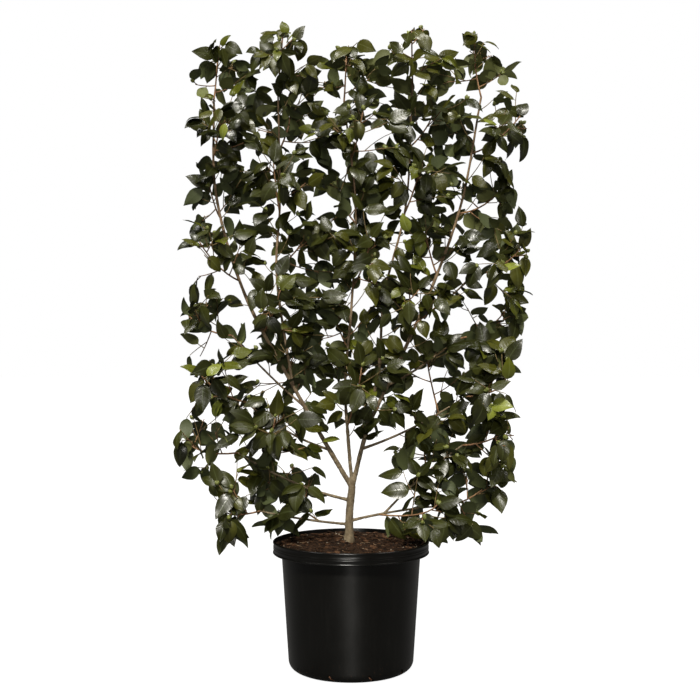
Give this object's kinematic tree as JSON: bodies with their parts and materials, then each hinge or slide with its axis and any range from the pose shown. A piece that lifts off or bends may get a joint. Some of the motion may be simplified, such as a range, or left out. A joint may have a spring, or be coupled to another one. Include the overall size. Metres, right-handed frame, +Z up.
{
  "type": "camellia shrub in a nursery pot",
  "caption": "Camellia shrub grown flat as a fan from a short forked trunk, with glossy dark green leaves on slender boughs, in a round black nursery pot with a deep collar.",
  "frame": {"origin": "centre of the pot's flat underside, where it stands on level ground", "axes": "+Z up along the trunk; +X across the fan, to the right as seen from the front; the front faces -Y"},
  "size_m": [0.9172, 0.4, 1.651],
  "materials": {
    "pot_plastic": "satin black moulded plastic",
    "potting_mix": "moist dark bark-based potting mix",
    "bark": "smooth grey-tan bark",
    "leaves": "leathery glossy dark green leaves"
  },
  "bodies": {
    "root": {"pot": "pot_plastic", "soil": "potting_mix", "trunk": "bark", "left_leader": "bark", "centre_leader": "bark", "right_leader": "bark", "inner_left_stem": "bark", "inner_right_stem": "bark", "lowest_left_bough": "bark", "low_left_bough": "bark", "middle_left_bough": "bark", "upper_left_bough": "bark", "lowest_right_bough": "bark", "low_right_bough": "bark", "middle_right_bough": "bark", "upper_right_bough": "bark", "high_right_bough": "bark", "foliage_lowest_far_left": "leaves", "foliage_lowest_left": "leaves", "foliage_lowest_right": "leaves", "foliage_lowest_far_right": "leaves", "foliage_low_far_left": "leaves", "foliage_low_left": "leaves", "foliage_low_right": "leaves", "foliage_low_far_right": "leaves", "foliage_lower_far_left": "leaves", "foliage_lower_left": "leaves", "foliage_lower_centre": "leaves", "foliage_lower_right": "leaves", "foliage_lower_far_right": "leaves", "foliage_middle_far_left": "leaves", "foliage_middle_left": "leaves", "foliage_middle_centre": "leaves", "foliage_middle_right": "leaves", "foliage_middle_far_right": "leaves", "foliage_upper_far_left": "leaves", "foliage_upper_left": "leaves", "foliage_upper_centre": "leaves", "foliage_upper_right": "leaves", "foliage_upper_far_right": "leaves", "foliage_high_far_left": "leaves", "foliage_high_left": "leaves", "foliage_high_centre": "leaves", "foliage_high_right": "leaves", "foliage_high_far_right": "leaves", "foliage_higher_far_left": "leaves", "foliage_higher_left": "leaves", "foliage_higher_centre": "leaves", "foliage_higher_right": "leaves", "foliage_higher_far_right": "leaves", "foliage_top_far_left": "leaves", "foliage_top_left": "leaves", "foliage_top_centre": "leaves", "foliage_top_right": "leaves", "foliage_top_far_right": "leaves"}
  },
  "joints": []
}
